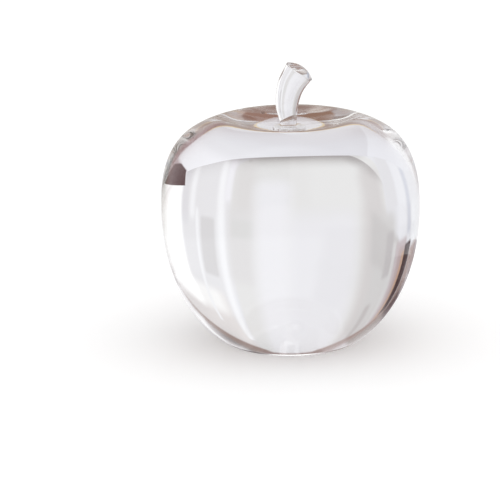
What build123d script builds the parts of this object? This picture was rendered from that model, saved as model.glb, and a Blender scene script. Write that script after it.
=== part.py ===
from build123d import *
import os

# A solid art glass apple with a bent glass stem bonded into the dimple of its crown.
# Lengths are in millimetres. +Z is up, the origin is the centre of the flat base,
# and the end of the stem leans towards +X.

# Apple body
body_width = 100.0
crest_height = 86.9
crest_width = 48.0
belly_height = 55.0
base_flat_width = 54.0
base_bevel = 0.6
heel_angle = 33.0
dimple_depth = 5.4

# Stem
stem_foot_width = 6.3
stem_top_width = 11.6
stem_rise = 23.1
stem_reach = 4.1
stem_sway = 1.1
stem_foot_offset = 0.35
stem_top_lean = 34.5
stem_foot_lean = 4.0
stem_end_dome = 2.1
stem_rim_radius = 0.45

# Bead of clear resin between the stem and the body
bond_thickness = 0.5
bead_width = 12.9
bead_rise = 2.3
bead_edge_radius = 0.8

# Outline of the body, on one side of its axis. The lower points stand between the edge
# of the base and the belly, the upper ones between the crest and the belly, and the
# dimple ones between the axis and the crest. Each is (share outwards, share upwards).
side_shares = ((0.325, 0.117), (0.72, 0.37))
shoulder_shares = ((0.885, 0.52), (0.67, 0.78), (0.31, 0.95))
dimple_shares = ((0.75, 0.71), (0.365, 0.24))

# Stem sections from foot to end. Each is (share of the reach, share of the sway,
# share of the rise, share of the growth from foot width to top width).
stem_shares = (
    (0.0, 0.08, 0.20, 0.12),
    (0.0, 0.46, 0.38, 0.39),
    (0.06, 0.39, 0.56, 0.58),
    (0.27, 0.0, 0.77, 0.77),
)

body_radius = body_width / 2
crest_radius = crest_width / 2
base_radius = base_flat_width / 2 + base_bevel
dimple_floor = crest_height - dimple_depth
stem_seat = dimple_floor + bond_thickness


def between(low, high, share):
    return low + share * (high - low)


def apple_body():
    side = [
        (between(base_radius, body_radius, out), between(base_bevel, belly_height, up))
        for out, up in side_shares
    ]
    shoulder = [
        (between(crest_radius, body_radius, out), between(belly_height, crest_height, up))
        for out, up in shoulder_shares
    ]
    dimple = [
        (between(0, crest_radius, out), between(dimple_floor, crest_height, up))
        for out, up in dimple_shares
    ]
    points = [
        (base_radius, base_bevel),
        *side,
        (body_radius, belly_height),
        *shoulder,
        (crest_radius, crest_height),
        *dimple,
        (0, dimple_floor),
    ]
    start = Vector(1, 0).rotate(Axis.Z, heel_angle)
    with BuildPart() as body:
        with BuildSketch(Plane.XZ):
            with BuildLine():
                Spline(*points, tangents=[start, (-1, 0)], tangent_scalars=(1, 1))
                Line((0, dimple_floor), (0, 0))
                Line((0, 0), (base_flat_width / 2, 0))
                Line((base_flat_width / 2, 0), (base_radius, base_bevel))
            make_face()
        revolve(axis=Axis.Z)
    return body.part


def dome(width, rise):
    half = width / 2
    ball_radius = (half**2 + rise**2) / (2 * rise)
    with BuildPart() as cap:
        with BuildSketch(Plane.XZ):
            with BuildLine():
                RadiusArc((half, 0), (0, rise), -ball_radius)
                Line((0, rise), (0, 0))
                Line((0, 0), (half, 0))
            make_face()
        revolve(axis=Axis.Z)
    return cap.part


def stem():
    foot = Vector(-stem_foot_offset, 0, stem_seat)
    points = [foot]
    widths = [stem_foot_width]
    for reach, sway, rise, growth in stem_shares:
        x = between(-stem_foot_offset, stem_reach, reach) - sway * stem_sway
        points.append(Vector(x, 0, stem_seat + rise * stem_rise))
        widths.append(between(stem_foot_width, stem_top_width, growth))
    points.append(Vector(stem_reach, 0, stem_seat + stem_rise))
    widths.append(stem_top_width)
    up = Vector(0, 0, 1)
    foot_way = up.rotate(Axis.Y, -stem_foot_lean)
    top_way = up.rotate(Axis.Y, stem_top_lean)
    line = Spline(*points, tangents=[foot_way, top_way])
    sections = [Plane(foot, x_dir=(1, 0, 0)) * Circle(stem_foot_width / 2)]
    for point, width in zip(points[1:], widths[1:]):
        way = line.tangent_at(line.param_at_point(point))
        sections.append(Plane(point, x_dir=(0, 1, 0), z_dir=way) * Circle(width / 2))
    top = Plane(points[-1], x_dir=(0, 1, 0), z_dir=top_way)
    rod = loft(sections) + top * dome(stem_top_width, stem_end_dome)
    end = rod.faces().sort_by(Axis.Z)[-1]
    return fillet(end.edges(), stem_rim_radius)


def bond_bead(body, rod):
    radius = bead_width / 2
    top = dimple_floor + bead_rise
    side_end = (radius, top - bead_edge_radius)
    top_edge = (radius - bead_edge_radius, top)
    with BuildPart() as bead:
        with BuildSketch(Plane.XZ):
            with BuildLine():
                Line((0, dimple_floor), (radius, dimple_floor))
                Line((radius, dimple_floor), side_end)
                RadiusArc(side_end, top_edge, -bead_edge_radius)
                Line(top_edge, (0, top))
                Line((0, top), (0, dimple_floor))
            make_face()
        revolve(axis=Axis.Z)
    return bead.part - body - rod


body = apple_body()
rod = stem()
pieces = {"apple_body": body, "stem": rod, "bond_bead": bond_bead(body, rod)}

os.makedirs("parts", exist_ok=True)
for name, piece in pieces.items():
    export_step(piece, f"parts/{name}.step")
    print(name, round(piece.volume, 1), piece.bounding_box().size)
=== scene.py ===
import math

import bpy
import numpy as np
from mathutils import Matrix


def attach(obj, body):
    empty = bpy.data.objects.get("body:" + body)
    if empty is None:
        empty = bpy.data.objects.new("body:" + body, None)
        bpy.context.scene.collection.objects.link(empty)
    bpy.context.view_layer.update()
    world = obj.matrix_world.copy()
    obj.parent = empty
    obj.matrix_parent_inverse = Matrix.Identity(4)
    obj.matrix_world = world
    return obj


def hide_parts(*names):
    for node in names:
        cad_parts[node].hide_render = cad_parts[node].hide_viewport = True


# A solid glass apple with a bent glass stem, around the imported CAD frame.
# Lengths are written in millimetres and turned into metres by MM. +Z is up, the origin is
# the centre of the flat base, and the end of the stem leans towards +X.

MM = 0.001

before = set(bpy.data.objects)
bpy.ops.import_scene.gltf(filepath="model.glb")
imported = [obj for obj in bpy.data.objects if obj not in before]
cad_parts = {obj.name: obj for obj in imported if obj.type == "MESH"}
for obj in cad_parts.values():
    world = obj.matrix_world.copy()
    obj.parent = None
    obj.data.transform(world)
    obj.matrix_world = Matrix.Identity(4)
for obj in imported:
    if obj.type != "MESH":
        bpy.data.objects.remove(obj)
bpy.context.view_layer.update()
scene = bpy.context.scene

# Apple body
BODY_WIDTH = 100.0
CREST_HEIGHT = 86.9
CREST_WIDTH = 48.0
BELLY_HEIGHT = 55.0
BASE_FLAT_WIDTH = 54.0
BASE_BEVEL = 0.6
HEEL_ANGLE = 33.0
DIMPLE_DEPTH = 5.4
# Outline of the body, on one side of its axis. The side points stand between the edge of
# the base and the belly, the shoulder points between the crest and the belly, and the
# dimple points between the axis and the crest. Each is (share outwards, share upwards).
SIDE_SHARES = ((0.325, 0.117), (0.72, 0.37))
SHOULDER_SHARES = ((0.885, 0.52), (0.67, 0.78), (0.31, 0.95))
DIMPLE_SHARES = ((0.75, 0.71), (0.365, 0.24))
# Rings of the base, as shares of the flat's radius
BASE_RING_SHARES = (0.02, 0.25, 0.5, 0.75, 0.95, 1.0)
OUTLINE_STEPS = 300
BODY_TURNS = 256

# Stem
STEM_FOOT_WIDTH = 6.3
STEM_TOP_WIDTH = 11.6
STEM_RISE = 23.1
STEM_REACH = 4.1
STEM_SWAY = 1.1
STEM_FOOT_OFFSET = 0.35
STEM_TOP_LEAN = 34.5
STEM_FOOT_LEAN = 4.0
STEM_END_DOME = 2.1
STEM_RIM_RADIUS = 0.45
# Sections from foot to end. Each is (share of the reach, share of the sway, share of the
# rise, share of the growth from foot width to top width).
STEM_SHARES = (
    (0.0, 0.08, 0.20, 0.12),
    (0.0, 0.46, 0.38, 0.39),
    (0.06, 0.39, 0.56, 0.58),
    (0.27, 0.0, 0.77, 0.77),
)
# Directions in which the growth starts and ends: (share of the length, share of the top width)
FOOT_GROWTH = (0.95, 0.1)
TOP_GROWTH = (0.8, 0.6)
# Share of the stem's line over which its rings turn from level to square across it
LEVEL_SHARE = 0.12
# Rings under the foot, as shares of its radius
FOOT_RING_SHARES = (0.05, 0.5, 0.9)
STEM_STEPS = 110
STEM_RIM_STEPS = 8
STEM_DOME_STEPS = 28
STEM_TURNS = 128
WIDTH_STEPS = 200
# Share of the stem's line on each side of a place that gives its direction there
WAY_STEP = 0.002

# Bead of clear resin
BOND_THICKNESS = 0.5
BEAD_WIDTH = 12.9
BEAD_RISE = 2.3
BEAD_EDGE_RADIUS = 0.8
# Height and width of the resin's fillet round the stem, and the last angle of its arc
MENISCUS = 0.35
MENISCUS_ANGLE = 85
# Height of the hole's floor above the stem's foot
HOLE_LIFT = 0.02
# Radius of the first ring of the bead's floor
BEAD_FIRST_RADIUS = 0.2
BEAD_FLOOR_STEPS = 24
BEAD_EDGE_STEPS = 17
MENISCUS_STEPS = 10
HOLE_STEPS = 14
BEAD_TURNS = STEM_TURNS
# Centre and radius of each trapped bubble
BEAD_BUBBLES = (
    ((1.3, -4.1, 83.0), 0.32),
    ((-0.9, -4.4, 82.7), 0.22),
    ((-3.6, -2.9, 82.9), 0.27),
    ((3.4, -3.6, 82.6), 0.18),
    ((4.4, 1.6, 82.8), 0.3),
    ((-4.1, 2.4, 82.7), 0.24),
    ((0.6, 4.6, 82.9), 0.26),
)
BUBBLE_TURNS = 24
BUBBLE_RINGS = 12
# The stem's foot lies in the first part of its line, where heights are looked up
FOOT_SEARCH_SHARE = 0.4
FOOT_SEARCH_STEPS = 400

# How far two pieces that touch run into each other, so that no air shows between them
GRIP = 0.03
# How far the outer surfaces stay inside the CAD box
INSET = 0.008
# Edges that turn by more than this many degrees are shown sharp
SHARP_ANGLE = 8.0

DIMPLE_FLOOR = CREST_HEIGHT - DIMPLE_DEPTH
STEM_SEAT = DIMPLE_FLOOR + BOND_THICKNESS


def between(low, high, share):
    return low + share * (high - low)


def smooth_line(points, start, end):
    """A function of 0 to 1 that runs along the cubic spline through points, with these end
    directions, and the share of its length at each point."""
    points = np.array(points, float)
    gaps = np.linalg.norm(np.diff(points, axis=0), axis=1)
    knots = np.concatenate([[0.0], np.cumsum(gaps)])
    count = len(points)
    matrix = np.zeros((count, count))
    right = np.zeros_like(points)
    matrix[0, 0] = 1.0
    matrix[-1, -1] = 1.0
    right[0] = start
    right[-1] = end
    for i in range(1, count - 1):
        before = gaps[i - 1]
        after = gaps[i]
        matrix[i, i - 1] = 1 / before
        matrix[i, i] = 2 / before + 2 / after
        matrix[i, i + 1] = 1 / after
        rise_before = (points[i] - points[i - 1]) / before**2
        rise_after = (points[i + 1] - points[i]) / after**2
        right[i] = 3 * (rise_before + rise_after)
    slopes = np.linalg.solve(matrix, right)

    def at(shares):
        t = np.clip(np.atleast_1d(shares), 0, 1) * knots[-1]
        i = np.clip(np.searchsorted(knots, t, side="right") - 1, 0, count - 2)
        s = ((t - knots[i]) / gaps[i])[:, None]
        width = gaps[i][:, None]
        return (
            (2 * s**3 - 3 * s**2 + 1) * points[i]
            + (s**3 - 2 * s**2 + s) * width * slopes[i]
            + (3 * s**2 - 2 * s**3) * points[i + 1]
            + (s**3 - s**2) * width * slopes[i + 1]
        )

    return at, knots / knots[-1]


def add_object(name, data):
    new = bpy.data.objects.new(name, data)
    scene.collection.objects.link(new)
    return new


def mesh_object(name, verts, faces):
    """A smooth object from points in millimetres."""
    mesh = bpy.data.meshes.new(name)
    mesh.from_pydata([tuple(v) for v in np.array(verts) * MM], [], faces)
    mesh.validate()
    for polygon in mesh.polygons:
        polygon.use_smooth = True
    mesh.set_sharp_from_angle(angle=math.radians(SHARP_ANGLE))
    return add_object(name, mesh)


def ring_mesh(rings, first_pole, last_pole, turns):
    """Verts and faces of a closed skin: a pole, rings of the same number of points, and a pole."""
    verts = [first_pole] + [tuple(v) for ring in rings for v in ring] + [last_pole]
    last = len(verts) - 1
    faces = []
    for j in range(turns):
        k = (j + 1) % turns
        faces.append((0, 1 + k, 1 + j))
        for i in range(len(rings) - 1):
            low = 1 + i * turns
            high = low + turns
            faces.append((low + j, low + k, high + k, high + j))
        top = 1 + (len(rings) - 1) * turns
        faces.append((last, top + j, top + k))
    return verts, faces


def circle(centre, radius, turns, across=(1, 0, 0)):
    """Points round a centre, in the plane of the direction across and the Y axis."""
    angles = np.arange(turns) * 2 * math.pi / turns
    cosines = np.cos(angles)[:, None]
    sines = np.sin(angles)[:, None]
    return np.array(centre) + radius * (cosines * np.array(across) + sines * np.array((0, 1, 0)))


def turned(profile, turns):
    """Verts and faces of a profile turned about Z. Its first and last points are on the axis."""
    rings = [circle((0, 0, z), r, turns) for r, z in profile[1:-1]]
    return ring_mesh(rings, (0, 0, profile[0][1]), (0, 0, profile[-1][1]), turns)


# Apple body

body_radius = BODY_WIDTH / 2
crest_radius = CREST_WIDTH / 2
base_radius = BASE_FLAT_WIDTH / 2 + BASE_BEVEL


def shared_points(shares, inner, outer, low, high):
    """Points that stand between two radii and two heights, by their shares."""
    return [(between(inner, outer, out), between(low, high, up)) for out, up in shares]


outline_points = [
    (base_radius, BASE_BEVEL),
    *shared_points(SIDE_SHARES, base_radius, body_radius, BASE_BEVEL, BELLY_HEIGHT),
    (body_radius, BELLY_HEIGHT),
    *shared_points(SHOULDER_SHARES, crest_radius, body_radius, BELLY_HEIGHT, CREST_HEIGHT),
    (crest_radius, CREST_HEIGHT),
    *shared_points(DIMPLE_SHARES, 0, crest_radius, DIMPLE_FLOOR, CREST_HEIGHT),
    (0, DIMPLE_FLOOR),
]
heel = math.radians(HEEL_ANGLE)
outline, _ = smooth_line(outline_points, (math.cos(heel), math.sin(heel)), (-1, 0))
side_line = outline(np.linspace(0, 1, OUTLINE_STEPS))
side_line[:, 0] = np.maximum(side_line[:, 0] - INSET, 0)
side_line[:, 1] -= INSET
base_line = [(0, 0)] + [(BASE_FLAT_WIDTH / 2 * share, 0) for share in BASE_RING_SHARES]
body_profile = base_line + [tuple(point) for point in side_line]
glass_body = mesh_object("glass_body", *turned(body_profile, BODY_TURNS))

# The dimple's part of the outline, from the axis outwards
inwards = side_line[::-1]
dimple_line = inwards[inwards[:, 0] < crest_radius]


def dimple_height(radius):
    return float(np.interp(radius, dimple_line[:, 0], dimple_line[:, 1]))


# Stem

foot = (-STEM_FOOT_OFFSET, STEM_SEAT)
stem_points = [foot]
stem_widths = [STEM_FOOT_WIDTH]
for reach, sway, rise, growth in STEM_SHARES:
    x = between(-STEM_FOOT_OFFSET, STEM_REACH, reach) - sway * STEM_SWAY
    stem_points.append((x, STEM_SEAT + rise * STEM_RISE))
    stem_widths.append(between(STEM_FOOT_WIDTH, STEM_TOP_WIDTH, growth))
stem_points.append((STEM_REACH, STEM_SEAT + STEM_RISE))
stem_widths.append(STEM_TOP_WIDTH)

foot_lean = math.radians(-STEM_FOOT_LEAN)
top_lean = math.radians(STEM_TOP_LEAN)
foot_way = (math.sin(foot_lean), math.cos(foot_lean))
top_way = (math.sin(top_lean), math.cos(top_lean))
stem_line, stem_knots = smooth_line(stem_points, foot_way, top_way)
width_points = [(knot, width / STEM_TOP_WIDTH) for knot, width in zip(stem_knots, stem_widths)]
width_line, _ = smooth_line(width_points, FOOT_GROWTH, TOP_GROWTH)
width_table = width_line(np.linspace(0, 1, WIDTH_STEPS))


def stem_radius(share):
    return float(np.interp(share, width_table[:, 0], width_table[:, 1])) * STEM_TOP_WIDTH / 2


def stem_ring(share, shrink, level):
    """A ring of the stem. level is 1 where it is flat, as at the foot, and 0 where it is square."""
    centre = stem_line(share)[0]
    way = stem_line(min(share + WAY_STEP, 1))[0] - stem_line(max(share - WAY_STEP, 0))[0]
    way = way / np.linalg.norm(way)
    way = way * (1 - level) + np.array((0.0, 1.0)) * level
    way = way / np.linalg.norm(way)
    across = (way[1], 0, -way[0])
    return circle((centre[0], 0, centre[1]), stem_radius(share) - shrink, STEM_TURNS, across)


foot_centre = (foot[0], 0, foot[1])
stem_rings = []
for share in FOOT_RING_SHARES:
    stem_rings.append(circle(foot_centre, STEM_FOOT_WIDTH / 2 * share, STEM_TURNS))
for share in np.linspace(0, 1 - STEM_RIM_RADIUS / STEM_RISE, STEM_STEPS):
    stem_rings.append(stem_ring(share, INSET, max(0.0, 1 - share / LEVEL_SHARE)))

# The end is a shallow dome. Its rim is a small arc that touches the dome and the side.
end_radius = STEM_TOP_WIDTH / 2 - INSET
ball_radius = (end_radius**2 + STEM_END_DOME**2) / (2 * STEM_END_DOME)
ball_drop = ball_radius - STEM_END_DOME
rim_out = end_radius - STEM_RIM_RADIUS
rim_up = math.sqrt((ball_radius - STEM_RIM_RADIUS) ** 2 - rim_out**2) - ball_drop
touch = math.atan2(rim_up + ball_drop, rim_out)
end_profile = []
for angle in np.linspace(0, touch, STEM_RIM_STEPS):
    out = rim_out + STEM_RIM_RADIUS * math.cos(angle)
    up = rim_up + STEM_RIM_RADIUS * math.sin(angle)
    end_profile.append((out, up))
for angle in np.linspace(touch, math.pi / 2, STEM_DOME_STEPS)[1:-1]:
    end_profile.append((ball_radius * math.cos(angle), ball_radius * math.sin(angle) - ball_drop))


def end_centre(up):
    """The place on the stem's axis that is this far past its line's end."""
    x = STEM_REACH + top_way[0] * (up - INSET)
    z = STEM_SEAT + STEM_RISE + top_way[1] * (up - INSET)
    return (x, 0, z)


for out, up in end_profile:
    stem_rings.append(circle(end_centre(up), out, STEM_TURNS, (top_way[1], 0, -top_way[0])))
glass_stem = mesh_object(
    "glass_stem",
    *ring_mesh(stem_rings, foot_centre, end_centre(STEM_END_DOME), STEM_TURNS),
)

# Bead of clear resin, with a blind hole that holds the stem's foot and a few trapped bubbles


def share_at(height):
    """The share of the stem's line at which it has this height."""
    shares = np.linspace(0, FOOT_SEARCH_SHARE, FOOT_SEARCH_STEPS)
    return float(np.interp(height, stem_line(shares)[:, 1], shares))


def bubble(centre, radius):
    """Verts and faces of a ball, from its top down, so that its skin faces into the bubble."""
    x, y, z = centre
    rings = []
    for i in range(1, BUBBLE_RINGS):
        angle = math.pi * i / BUBBLE_RINGS
        level = (x, y, z + radius * math.cos(angle))
        rings.append(circle(level, radius * math.sin(angle), BUBBLE_TURNS))
    return ring_mesh(rings, (x, y, z + radius), (x, y, z - radius), BUBBLE_TURNS)


bead_radius = BEAD_WIDTH / 2 - INSET
bead_top = DIMPLE_FLOOR + BEAD_RISE
bead_rings = []
for radius in np.linspace(BEAD_FIRST_RADIUS, bead_radius, BEAD_FLOOR_STEPS):
    bead_rings.append(circle((0, 0, dimple_height(radius) - GRIP), radius, BEAD_TURNS))
bead_rings.append(circle((0, 0, bead_top - BEAD_EDGE_RADIUS), bead_radius, BEAD_TURNS))
for angle in np.linspace(0, 90, BEAD_EDGE_STEPS)[1:]:
    out = math.cos(math.radians(angle)) * BEAD_EDGE_RADIUS
    up = math.sin(math.radians(angle)) * BEAD_EDGE_RADIUS
    centre = (0, 0, bead_top - BEAD_EDGE_RADIUS + up - INSET)
    bead_rings.append(circle(centre, bead_radius - BEAD_EDGE_RADIUS + out, BEAD_TURNS))

# The resin climbs the stem in a small fillet, and from its top the hole goes down
meniscus_share = share_at(bead_top)
meniscus_x = stem_line(meniscus_share)[0][0]
for angle in np.linspace(0, MENISCUS_ANGLE, MENISCUS_STEPS):
    back = MENISCUS * (1 - math.sin(math.radians(angle)))
    up = MENISCUS * (1 - math.cos(math.radians(angle)))
    centre = (meniscus_x, 0, bead_top - INSET + up)
    bead_rings.append(circle(centre, stem_radius(meniscus_share) + back, BEAD_TURNS))
hole_floor = STEM_SEAT + HOLE_LIFT
hole_rise = bead_top + MENISCUS - STEM_SEAT
for share in np.linspace(0, 1, HOLE_STEPS)[::-1]:
    bead_rings.append(stem_ring(share_at(hole_floor + share * hole_rise), GRIP, 1.0))

bead_floor = (0, 0, DIMPLE_FLOOR - GRIP)
verts, faces = ring_mesh(bead_rings, bead_floor, (foot[0], 0, hole_floor), BEAD_TURNS)
for centre, radius in BEAD_BUBBLES:
    more, skin = bubble(centre, radius)
    faces += [tuple(len(verts) + i for i in face) for face in skin]
    verts += more
resin_bead = mesh_object("resin_bead", verts, faces)

# Materials

CRYSTAL_IOR = 1.52
RESIN_IOR = 1.50
CRYSTAL_TINT = (0.985, 0.99, 0.99, 1)
RESIN_TINT = (0.985, 0.985, 0.98, 1)
# Waves of the forming ripple and spots of wear to the metre
RIPPLE_SCALE = 45.0
WEAR_SCALE = 160.0
# Values of the wear's noise between which the surface goes from polished to worn
WEAR_RANGE = (0.5, 0.8)


def linear(*rgb):
    """A colour written as 0 to 255, in the linear values that shaders take."""
    out = []
    for value in rgb:
        value /= 255
        out.append(value / 12.92 if value <= 0.04045 else ((value + 0.055) / 1.055) ** 2.4)
    return (*out, 1.0)


class Nodes:
    """Short calls for building a node tree."""

    def __init__(self, tree):
        self.tree = tree
        tree.nodes.clear()

    def put(self, socket, value):
        """Links a socket to an output, or gives it a value."""
        if isinstance(value, bpy.types.NodeSocket):
            self.tree.links.new(value, socket)
        else:
            socket.default_value = value

    def add(self, kind, settings=None, **inputs):
        node = self.tree.nodes.new(kind)
        for key, value in (settings or {}).items():
            setattr(node, key, value)
        for key, value in inputs.items():
            self.put(node.inputs[key.replace("_", " ")], value)
        return node

    def math(self, operation, *values):
        node = self.add("ShaderNodeMath", {"operation": operation})
        for socket, value in zip(node.inputs, values):
            self.put(socket, value)
        return node.outputs[0]

    def plus(self, a, b):
        return self.math("ADD", a, b)

    def minus(self, a, b):
        return self.math("SUBTRACT", a, b)

    def greater(self, a, b):
        return self.math("MAXIMUM", a, b)

    def times(self, first, *others):
        for value in others:
            first = self.math("MULTIPLY", first, value)
        return first

    def ease(self, value, low, high, start=0.0, end=1.0):
        """From start to end, smoothly, as value goes from low to high."""
        node = self.add("ShaderNodeMapRange", {"interpolation_type": "SMOOTHSTEP"})
        for socket, setting in zip(node.inputs, (value, low, high, start, end)):
            self.put(socket, setting)
        return node.outputs[0]

    def mix(self, factor, a, b):
        """Colour a where factor is 0 and b where it is 1."""
        node = self.add("ShaderNodeMix", {"data_type": "RGBA"})
        self.put(node.inputs[0], factor)
        self.put(node.inputs[6], a)
        self.put(node.inputs[7], b)
        return node.outputs[2]

    def mix_shaders(self, factor, a, b):
        """Shader a where factor is 0 and b where it is 1."""
        node = self.add("ShaderNodeMixShader")
        for socket, value in zip(node.inputs, (factor, a, b)):
            self.put(socket, value)
        return node.outputs[0]


def clear_material(name, ior, tint, ripple, haze):
    """A clear material with a faint forming ripple, in millimetres, and haze where it is worn."""
    material = bpy.data.materials.new(name)
    material.use_nodes = True
    nodes = Nodes(material.node_tree)
    place = nodes.add("ShaderNodeTexCoord").outputs["Object"]
    wave = nodes.add("ShaderNodeTexNoise", Vector=place, Scale=RIPPLE_SCALE, Detail=1.0, Roughness=0.4)
    bump = nodes.add("ShaderNodeBump", Height=wave.outputs["Fac"], Distance=ripple * MM, Strength=1.0)
    wear = nodes.add("ShaderNodeTexNoise", Vector=place, Scale=WEAR_SCALE, Detail=3.0, Roughness=0.55)
    shader = nodes.add(
        "ShaderNodeBsdfPrincipled",
        Base_Color=tint,
        Roughness=nodes.ease(wear.outputs["Fac"], *WEAR_RANGE, 0.0, haze),
        IOR=ior,
        Normal=bump.outputs["Normal"],
        Transmission_Weight=1.0,
    )
    nodes.add("ShaderNodeOutputMaterial", Surface=shader.outputs[0])
    return material


body_glass = clear_material("crystal", CRYSTAL_IOR, CRYSTAL_TINT, ripple=0.004, haze=0.012)
stem_glass = clear_material("drawn_crystal", CRYSTAL_IOR, CRYSTAL_TINT, ripple=0.006, haze=0.012)
clear_resin = clear_material("resin", RESIN_IOR, RESIN_TINT, ripple=0.004, haze=0.01)

for piece, material, node, slot in (
    (glass_body, body_glass, "apple_body", "body_glass"),
    (glass_stem, stem_glass, "stem", "stem_glass"),
    (resin_bead, clear_resin, "bond_bead", "clear_resin"),
):
    piece.data.materials.append(material)
    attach(piece, "root")
    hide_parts(node)

# Surroundings

# They show only in the glass. Bearings are in degrees from +Y towards +X, heights in
# degrees above the horizon, and colours from 0 to 255, or more where they glow.

# Light between the panels, through the glass and mirrored
OPEN_LIGHT = (235, 235, 240)
MIRRORED_OPEN_LIGHT = (236, 235, 236)
OVERHEAD_LIGHT = (1.3, 1.3, 1.3, 1)
# Heights at which the soft light overhead starts and is full, through the glass and mirrored
OVERHEAD_RANGE = (60, 72)
MIRRORED_OVERHEAD_RANGE = (60, 75)
WHITE = (1, 1, 1, 1)
DEGREES = 180 / math.pi

# What the glass shows, each panel laid over those before it: (colour, (bearing from, to,
# height from, to), corner, softness, rise, lean). Rise is the height gained per degree of
# bearing, lean the bearing lost per degree of height.
PANELS = (
    # broad panels beside and behind the camera, dark above, with a pale band
    ((204, 197, 198), (96, 280, -60, 95), 12, 10, 0, 0),
    ((206, 198, 200), (-280, -96, -60, 95), 12, 10, 0, 0),
    ((44, 18, 16), (130, 280, 32, 95), 6, 5, 0, 0),
    ((44, 18, 16), (-280, -160, 30, 95), 4, 3.5, 0, 0),
    ((150, 136, 130), (-166, -144, 24, 60), 4, 3.5, 0, 0),
    ((270, 270, 272), (154, 280, 17, 30), 3, 2.5, 0, 0),
    ((262, 262, 266), (-280, -170, 17, 27), 3, 2.5, 0, 0),
    ((112, 94, 104), (-170, -158, 12, 26), 3, 2.5, 0, 0),
    ((48, 8, 6), (-172, -158, 25, 36), 3, 2.5, 0, 0),
    ((160, 128, 130), (146, 172, -4, 6), 3, 2.5, 0, 0),
    ((64, 56, 60), (170, 184, -4, 4), 2, 1.8, 0, 0),
    ((262, 262, 264), (-174, -158, -5, 4), 3, 2.5, 0, 0),
    ((164, 171, 186), (-154, -122, -24, -5), 4, 3.5, 0, 0),
    # grey panel at +X, darker low down
    ((182, 177, 180), (82, 112, -60, 34), 3, 2.5, 0, 0),
    ((118, 104, 104), (82, 104, -60, -9), 3, 2.5, 0, 0),
    # white panels on the +X side, and a brown one low down beyond them
    ((232, 227, 226), (26, 85, 0, 50), 4, 3.6, 0, 0.2),
    ((256, 255, 255), (28, 50, 5, 18), 4, 3.6, 0, 0.2),
    ((280, 280, 280), (43, 85, -60, 18), 3.6, 3.5, 0, 0.22),
    ((100, 82, 78), (86, 130, -60, -14), 4, 3.5, 0, 0),
    # pale panel at -X, and a brown one above it
    ((252, 254, 258), (-92, -60, -12, 5), 3, 2.5, 0, 0),
    ((190, 170, 163), (-112, -74, 9, 48), 4, 3.5, 0, 0),
    # pale upright folds on the +X side of the back panel
    ((236, 235, 238), (14, 43.5, -60, 8), 3, 2.4, 0, 0.1),
    ((230, 229, 233), (38.5, 43.0, -60, -9), 1.3, 1.2, 0, 0.15),
    ((250, 250, 253), (34.4, 37.8, -60, -11), 1.5, 1.4, 0, 0.1),
    ((250, 250, 253), (32.8, 34.4, -14, 24), 0.9, 0.8, 0, 0.05),
    ((220, 218, 220), (25.0, 31.8, -12, 3), 1.0, 0.8, 0, 0.03),
    ((252, 252, 255), (20.4, 23.4, -60, 34), 1.4, 1.3, 0, 0.05),
    ((247, 246, 251), (18.6, 21.6, -60, -17), 1.2, 1.1, 0, 0),
    # back panel, brighter in the middle, with a shaded foot and -X edge
    ((233, 232, 232), (-35.8, 18.5, -34.5, 75), 7, 0.7, 0, 0),
    ((227, 225, 225), (11.0, 18.0, -31, -6), 3.2, 2.4, 0, 0),
    ((228, 226, 227), (11.0, 19.5, -15, 3), 2.4, 2.2, 0, 0),
    ((224, 223, 223), (11.0, 18.5, -12.2, -8.4), 1.0, 0.8, 0, 0),
    ((238, 237, 241), (-21, 2, -14, 60), 4, 3.6, 0, 0),
    ((243, 242, 246), (0, 10.5, -24, 60), 3.5, 3.2, 0, 0),
    ((206, 203, 202), (-30, 14, -44, -32.5), 6, 4.5, 0, 0),
    ((216, 212, 212), (-34.5, -24.0, -28, 75), 3.6, 3.2, 0, 0),
    ((213, 211, 211), (-42, -29, -12, 75), 4.0, 3.2, 0, 0),
    # -X side: lavender low down, grey folds, a warm strip, brown and a dark strip
    ((230, 229, 233), (-44.5, -36.0, -60, -8.4), 1.4, 1.3, 0.1, 0),
    ((241, 241, 246), (-52.5, -45.0, -60, -3), 1.6, 1.5, 0, 0),
    ((196, 191, 191), (-34.5, -31.0, 17, 75), 1.6, 1.5, 0, 0),
    ((206, 203, 203), (-46, -27.5, -28.2, -15.4), 1.8, 1.6, -0.55, 0),
    ((195, 191, 192), (-40.8, -36.0, -6.5, 7.5), 1.2, 1.1, 0, 0),
    ((218, 216, 216), (-43.6, -40.8, -3, 75), 1.0, 0.9, 0, 0),
    ((204, 192, 195), (-54, -43.6, -2.4, 75), 1.3, 1.2, 0, 0),
    ((194, 176, 176), (-54, -46.4, 0, 75), 1.2, 1.1, 0, 0),
    ((204, 168, 146), (-54, -50.0, 2, 75), 0.8, 0.7, 0, -0.05),
    ((212, 214, 225), (-58.6, -54.0, -27, -3), 1.6, 1.5, 0, 0),
    ((176, 152, 144), (-74, -60, 3, 36), 2.0, 1.8, 0, 0),
    ((50, 20, 16), (-60.4, -52.8, 0.0, 32), 0.8, 0.6, 0, -0.05),
    # browns overhead, which come down further at the sides
    ((152, 120, 110), (-86, -14, 52, 95), 3, 2.5, 0.36, 0),
    ((144, 114, 100), (14, 84, 52, 95), 3, 2.5, -0.42, 0),
    ((124, 82, 74), (-24, 22, 49, 95), 3, 2.5, 0, 0),
    ((112, 84, 76), (82, 112, 33, 95), 4, 3.5, 0, 0),
    ((50, 14, 12), (84, 132, 48, 95), 4, 3.5, 0, 0),
    ((36, 8, 8), (-138, -82, 47, 95), 4, 3.5, 0, 0),
)

# What the outer skin mirrors, soft greys and browns: (colour, box, corner, softness)
MIRRORED_PANELS = (
    ((208, 204, 202), (-72, 42, 26, 95), 14, 13),
    ((164, 158, 146), (-40, -16, -16, 18), 8, 7),
    ((190, 182, 172), (-18, 8, -8, 26), 8, 7),
    ((152, 118, 92), (-17, 24, 24, 62), 9, 8),
)


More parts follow.
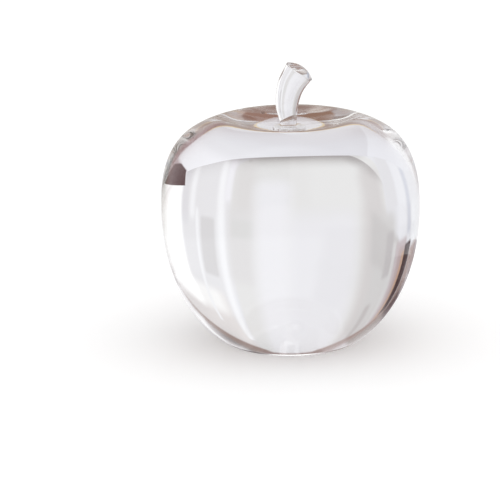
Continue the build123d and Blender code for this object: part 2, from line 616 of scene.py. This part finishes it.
def rounded(nodes, x, y, box, corner, soft):
    """1 inside a box with round corners and 0 outside, with soft edges."""
    left, right, low, high = box
    parts = []
    for value, start, end in ((x, left, right), (y, low, high)):
        away = nodes.math("ABSOLUTE", nodes.minus(value, (start + end) / 2))
        past = nodes.greater(nodes.minus(away, (end - start) / 2 - corner), 0.0)
        parts.append(nodes.times(past, past))
    distance = nodes.math("SQRT", nodes.plus(*parts))
    return nodes.ease(distance, corner - soft, corner + soft, 1.0, 0.0)


def light_through_glass(nodes, bearing, height):
    light = linear(*OPEN_LIGHT)
    for colour, box, corner, soft, rise, lean in PANELS:
        across = nodes.plus(bearing, nodes.times(height, lean)) if lean else bearing
        level = nodes.minus(height, nodes.times(bearing, rise)) if rise else height
        light = nodes.mix(rounded(nodes, across, level, box, corner, soft), light, linear(*colour))
    return nodes.mix(nodes.ease(height, *OVERHEAD_RANGE), light, OVERHEAD_LIGHT)


def mirrored_light(nodes, bearing, height):
    light = linear(*MIRRORED_OPEN_LIGHT)
    for colour, box, corner, soft in MIRRORED_PANELS:
        light = nodes.mix(rounded(nodes, bearing, height, box, corner, soft), light, linear(*colour))
    return nodes.mix(nodes.ease(height, *MIRRORED_OVERHEAD_RANGE), light, OVERHEAD_LIGHT)


def seen_directly(nodes, rays):
    """1 for rays from the camera or a matt surface, 0 for rays that come by way of the glass."""
    return nodes.greater(rays.outputs["Is Camera Ray"], rays.outputs["Is Diffuse Ray"])


def seen_mirrored(nodes, rays):
    """1 for rays that the outer skin mirrors, 0 for rays that have gone through the glass."""
    glossy = rays.outputs["Is Glossy Ray"]
    return nodes.math("GREATER_THAN", glossy, rays.outputs["Is Transmission Ray"])


world = bpy.data.worlds.new("studio")
scene.world = world
world.use_nodes = True
nodes = Nodes(world.node_tree)
way = nodes.add("ShaderNodeSeparateXYZ", Vector=nodes.add("ShaderNodeTexCoord").outputs["Generated"])
bearing = nodes.times(nodes.math("ARCTAN2", way.outputs["X"], way.outputs["Y"]), DEGREES)
height = nodes.times(nodes.math("ARCSINE", way.outputs["Z"]), DEGREES)
rays = nodes.add("ShaderNodeLightPath")
through = light_through_glass(nodes, bearing, height)
shown = nodes.mix(seen_mirrored(nodes, rays), through, mirrored_light(nodes, bearing, height))
shown = nodes.mix(seen_directly(nodes, rays), shown, WHITE)
background = nodes.add("ShaderNodeBackground", Color=shown, Strength=1.0)
nodes.add("ShaderNodeOutputWorld", Surface=background.outputs[0])

# Floor

# Seen directly it is white and shaded. Through the glass it is a pale round disc that ends
# beyond the apple, and from there on it is clear, with a painted shade over what is behind.

FLOOR_WIDTH = 60000.0
# How far the floor lies below the base, so that the two faces stay apart
FLOOR_DROP = 0.1
FLOOR_PAINT = (0.9, 0.9, 0.9, 1)
FLOOR_GLOW = 0.22

# Depth of the disc's far edge, which is further off at +X: by the shift, past this range
DISC_EDGE = 96.4
DISC_EDGE_SHIFT = 10.0
DISC_EDGE_SHIFT_RANGE = (-6.0, 30.0)
# Half the width over which a sharp edge fades
EDGE_BLUR = 0.4
RING_RADIUS = 53.35
# Depth of the corners, where the dark part's edge starts to slant and the left rim starts
CORNER_DEPTH = 103.0
# Slanted lines, each by the side gained or lost per depth, and for the rims also a place.
# The right rim is at -X and the left one at +X, because the glass swaps them.
SLANT_SLOPE = 0.46
DARK_EDGE_SLOPE = 0.75
DARK_END_SLOPE = 0.9
RIGHT_RIM = 88.0
RIGHT_RIM_SLOPE = 1.03
LEFT_RIM = 8.0
LEFT_RIM_SLOPE = 0.22

# A part of the floor is a list of (measure, from, to). It is where every measure is past
# its second length, and it fades out towards the first.
DARK_PART = (("dark edge", 50.5, 53.0), ("dark end", 126.0, 131.0), ("depth", 62.0, 74.0))
PAST_EDGE = (("far", DISC_EDGE - EDGE_BLUR, DISC_EDGE + EDGE_BLUR),)
IN_RIGHT_RIM = (("right rim", -EDGE_BLUR, EDGE_BLUR),)
IN_LEFT_RIM = (("left rim", -EDGE_BLUR, EDGE_BLUR),)

# Colour of the disc and its shades, each laid over those before it
DISC_COLOUR = (225, 224, 230)
DISC_SHADES = (
    ((238, 238, 243), (("side", -4.0, 6.0),)),
    ((250, 250, 255), (("side", 6.0, 22.0),)),
    # an even part on the -X side of a slanted line
    ((237, 237, 243), (("slant", 24.8, 23.6),)),
    # painted shade on the near side of the apple
    ((178, 164, 164), (("depth", 26.0, 8.0),)),
    # painted shadow under and round the apple, in brown
    ((160, 134, 128), (("radius", 54.0, 52.0),)),
    # a warm ring at its rim: a painted fringe of light split into colours by the glass
    ((240, 214, 166), (("off ring", 1.423, 0.291),)),
    # painted shadow, darker, under the base
    ((152, 130, 124), (("radius", 34.0, 26.0),)),
    # a soft shade at +X, and a dark part further out
    ((192, 176, 181), (("side", 48.0, 58.0), ("depth", 30.0, 60.0))),
    ((62, 16, 20), DARK_PART),
    # brown at -X
    ((166, 142, 128), (("side", -86.0, -94.0), ("depth", 66.0, 54.0))),
)
# Patches of the disc, laid last: (colour, (side from, to, depth from, to), corner, softness)
DISC_PATCHES = (
    ((196, 184, 178), (-12.5, -6.5, 1.0, 11.0), 2.6, 1.6),
    ((72, 20, 20), (-90.0, -60.0, 14.0, 57.0), 10.0, 5.0),
)
# What the outer skin mirrors of the floor, and its dim part at +X
MIRRORED_FLOOR = (238, 236, 238)
MIRRORED_DIM = (150, 136, 138)
MIRRORED_DIM_PART = (("side", 25.0, 50.0), ("depth", -20.0, 15.0))

# Painted shade: a tint on the clear floor that darkens what shows past the disc's far edge
PAINTED_SHADE_TINT = (0.58, 0.555, 0.555, 1)
# How far the painted shade along the disc's edge goes and how fast it fades
PAINTED_SHADE_WIDTH = 34.0
PAINTED_SHADE_POWER = 3.0
# Its strength goes from the first to the second between these two places on the way to +X
PAINTED_SHADE_STRENGTHS = (1.2, 0.35)
PAINTED_SHADE_STRENGTH_RANGE = (8.0, 20.0)
# Painted shade in the corners behind the disc
RIGHT_CORNER = (("right rim", 18.0, 0.5),)
LEFT_CORNER = (("left rim", 4.0, 0.5), ("depth", 118.0, 102.0))
CORNERS_END = (("depth", 150.0, 100.0),)

# The floor is clear outside the disc, apart from the dark part, which ends further out
OUTSIDE_DISC = (("radius", 118.0, 120.0),)
DARK_PART_KEPT = DARK_PART + (("radius", 150.0, 148.0),)


def floor_measures(nodes, place):
    """Lengths in millimetres that the parts of the floor are measured by, by their names."""
    spot = nodes.add("ShaderNodeSeparateXYZ", Vector=place)
    distance = nodes.add("ShaderNodeVectorMath", {"operation": "LENGTH"}, Vector=place)
    side = nodes.times(spot.outputs["X"], 1 / MM)
    depth = nodes.times(spot.outputs["Y"], 1 / MM)
    radius = nodes.times(distance.outputs["Value"], 1 / MM)
    past_corner = nodes.minus(depth, CORNER_DEPTH)
    dark_slant = nodes.times(nodes.greater(past_corner, 0.0), DARK_EDGE_SLOPE)
    right_slant = nodes.times(depth, RIGHT_RIM_SLOPE)
    left_slant = nodes.times(past_corner, LEFT_RIM_SLOPE)
    return {
        "side": side,
        "depth": depth,
        "radius": radius,
        "slant": nodes.plus(side, nodes.times(depth, SLANT_SLOPE)),
        "far": nodes.minus(depth, nodes.ease(side, *DISC_EDGE_SHIFT_RANGE, 0.0, DISC_EDGE_SHIFT)),
        "off ring": nodes.math("ABSOLUTE", nodes.minus(radius, RING_RADIUS)),
        "dark edge": nodes.minus(side, dark_slant),
        "dark end": nodes.plus(side, nodes.times(depth, DARK_END_SLOPE)),
        "right rim": nodes.plus(side, nodes.minus(right_slant, RIGHT_RIM)),
        "left rim": nodes.minus(nodes.plus(left_slant, LEFT_RIM), side),
    }


def within(nodes, measures, part):
    """1 in a part of the floor and 0 outside it."""
    return nodes.times(*[nodes.ease(measures[name], start, end) for name, start, end in part])


def disc_colour(nodes, measures, mirrored):
    """Colour of the disc through the glass and, where mirrored is 1, in the outer skin."""
    colour = linear(*DISC_COLOUR)
    for shade, part in DISC_SHADES:
        colour = nodes.mix(within(nodes, measures, part), colour, linear(*shade))
    for shade, box, corner, soft in DISC_PATCHES:
        patch = rounded(nodes, measures["side"], measures["depth"], box, corner, soft)
        colour = nodes.mix(patch, colour, linear(*shade))
    dim = within(nodes, measures, MIRRORED_DIM_PART)
    mirrored_colour = nodes.mix(dim, linear(*MIRRORED_FLOOR), linear(*MIRRORED_DIM))
    return nodes.mix(mirrored, colour, mirrored_colour)


def painted_shade_colour(nodes, measures):
    """Painted shade on the clear floor, along the disc's far edge and in the two corners there."""
    gone = nodes.math("DIVIDE", nodes.minus(measures["far"], DISC_EDGE), PAINTED_SHADE_WIDTH)
    fade = nodes.math("POWER", nodes.greater(nodes.minus(1.0, gone), 0.0), PAINTED_SHADE_POWER)
    strength = nodes.ease(measures["side"], *PAINTED_SHADE_STRENGTH_RANGE, *PAINTED_SHADE_STRENGTHS)
    along = nodes.times(fade, strength, within(nodes, measures, PAST_EDGE + IN_RIGHT_RIM))
    corners = nodes.greater(
        within(nodes, measures, RIGHT_CORNER),
        within(nodes, measures, LEFT_CORNER),
    )
    inside = within(nodes, measures, IN_RIGHT_RIM + IN_LEFT_RIM + CORNERS_END + PAST_EDGE)
    return nodes.mix(nodes.greater(along, nodes.times(corners, inside)), WHITE, PAINTED_SHADE_TINT)


def clear_share(nodes, measures):
    """1 where the floor is clear when seen through the glass, 0 where it is the disc."""
    outside = within(nodes, measures, OUTSIDE_DISC)
    beyond = nodes.greater(within(nodes, measures, PAST_EDGE), outside)
    return nodes.times(beyond, nodes.minus(1.0, within(nodes, measures, DARK_PART_KEPT)))


floor_mesh = bpy.data.meshes.new("floor")
half = FLOOR_WIDTH / 2 * MM
drop = -FLOOR_DROP * MM
corners = [(-half, -half, drop), (half, -half, drop), (half, half, drop), (-half, half, drop)]
floor_mesh.from_pydata(corners, [], [(0, 1, 2, 3)])
floor = add_object("floor", floor_mesh)
floor_material = bpy.data.materials.new("floor")
floor_material.use_nodes = True
floor_mesh.materials.append(floor_material)

nodes = Nodes(floor_material.node_tree)
rays = nodes.add("ShaderNodeLightPath")
measures = floor_measures(nodes, nodes.add("ShaderNodeTexCoord").outputs["Object"])
paint = nodes.add("ShaderNodeBsdfDiffuse", Color=FLOOR_PAINT)
glow = nodes.add("ShaderNodeEmission", Color=WHITE, Strength=FLOOR_GLOW)
plain = nodes.add("ShaderNodeAddShader")
nodes.put(plain.inputs[0], paint.outputs[0])
nodes.put(plain.inputs[1], glow.outputs[0])
colour = disc_colour(nodes, measures, seen_mirrored(nodes, rays))
disc = nodes.add("ShaderNodeEmission", Color=colour, Strength=1.0)
painted_shade = nodes.add("ShaderNodeBsdfTransparent", Color=painted_shade_colour(nodes, measures))
through = nodes.mix_shaders(clear_share(nodes, measures), disc.outputs[0], painted_shade.outputs[0])
surface = nodes.mix_shaders(seen_directly(nodes, rays), through, plain.outputs[0])
nodes.add("ShaderNodeOutputMaterial", Surface=surface)

# Camera

CAMERA_DISTANCE = 900.0
CAMERA_HEIGHT_ANGLE = 14.5
CAMERA_ROLL = -0.7
AIM_HEIGHT = 45.0
CLIP_START = 10.0
SENSOR = 36.0
# Width of the picture, the point in it that the camera aims at, and the focal length, in pixels
PICTURE = 500.0
AIM_AT = (290.6, 223.8)
FOCAL_PIXELS = 2320.2

camera_data = bpy.data.cameras.new("camera")
camera_data.sensor_width = SENSOR
camera_data.lens = FOCAL_PIXELS / PICTURE * SENSOR
camera_data.shift_x = -(AIM_AT[0] - PICTURE / 2) / PICTURE
camera_data.shift_y = (AIM_AT[1] - PICTURE / 2) / PICTURE
camera_data.clip_start = CLIP_START * MM
camera = add_object("camera", camera_data)
tilt = math.radians(CAMERA_HEIGHT_ANGLE)
camera.location = (
    0,
    -CAMERA_DISTANCE * MM * math.cos(tilt),
    (AIM_HEIGHT + CAMERA_DISTANCE * math.sin(tilt)) * MM,
)
camera.rotation_mode = "XYZ"
camera.rotation_euler = (math.radians(90 - CAMERA_HEIGHT_ANGLE), 0, 0)
camera.rotation_euler.rotate_axis("Z", math.radians(CAMERA_ROLL))
scene.camera = camera

# Light is caught many times in the glass, and a path that is cut short leaves a dark speck
LIGHT_BOUNCES = 48
MIRROR_BOUNCES = 32
CLEAR_BOUNCES = 16

scene.view_settings.view_transform = "Standard"
scene.cycles.max_bounces = LIGHT_BOUNCES
scene.cycles.transmission_bounces = LIGHT_BOUNCES
scene.cycles.glossy_bounces = MIRROR_BOUNCES
scene.cycles.transparent_max_bounces = CLEAR_BOUNCES
